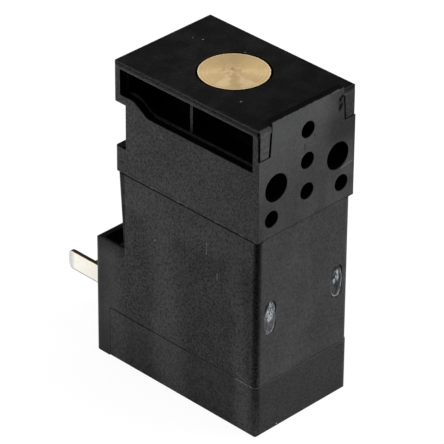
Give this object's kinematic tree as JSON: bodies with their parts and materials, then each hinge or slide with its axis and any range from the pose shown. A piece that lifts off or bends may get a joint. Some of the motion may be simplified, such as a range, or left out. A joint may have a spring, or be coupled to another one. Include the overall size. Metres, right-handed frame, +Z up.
{
  "type": "solenoid pilot valve",
  "caption": "Small upright solenoid pilot valve: black coil block with blade terminals, a ported valve head on top and a sprung plunger inside.",
  "frame": {"origin": "centre of the base, under the plunger axis", "axes": "+Z up the plunger axis, -Y out of the port face, +Y along the terminal blades, +X to the right seen from the port face"},
  "size_m": [0.015, 0.0336, 0.0398],
  "materials": {
    "head_plastic": "fine moulded grain",
    "cover_plastic": "smooth satin",
    "casing_plastic": "moulded grain with faint flow marks",
    "cap_plastic": "fine moulded grain",
    "turned_brass": "lathe turned",
    "insert_brass": "machined",
    "tinned_blade": "tin plated",
    "copper_wire": "enamelled",
    "bobbin_plastic": "moulded",
    "winding_tape": "film tape",
    "magnet_steel": "machined",
    "tube_steel": "drawn",
    "spring_steel": "drawn wire",
    "seal_rubber": "moulded"
  },
  "bodies": {
    "valve": {"valve_body": "head_plastic", "top_cover": "cover_plastic", "seat_plug": "turned_brass", "plug_o_rings": "seal_rubber", "coil_casing": "casing_plastic", "base_cap": "cap_plastic", "plug_insert": "insert_brass", "left_terminal_blade": "tinned_blade", "right_terminal_blade": "tinned_blade", "earth_blade": "tinned_blade", "coil_leads": "copper_wire", "bobbin": "bobbin_plastic", "winding": "copper_wire", "winding_tape": "winding_tape", "yoke": "magnet_steel", "pole_plate": "magnet_steel", "guide_tube": "tube_steel", "tube_nut": "insert_brass", "tube_o_ring": "seal_rubber", "fixed_core": "magnet_steel", "core_clip": "spring_steel", "return_spring": "spring_steel"},
    "armature": {"plunger": "magnet_steel", "poppet": "insert_brass", "upper_seal": "seal_rubber", "lower_seal": "seal_rubber"}
  },
  "joints": [
    {"name": "plunger_stroke", "type": "slide", "parent": "valve", "child": "armature", "axis": [0, 0, -1], "range_m": [0, 0.0006], "stiffness_N_per_m": 300, "springref_m": -0.0035, "deforming": ["return_spring"]}
  ]
}
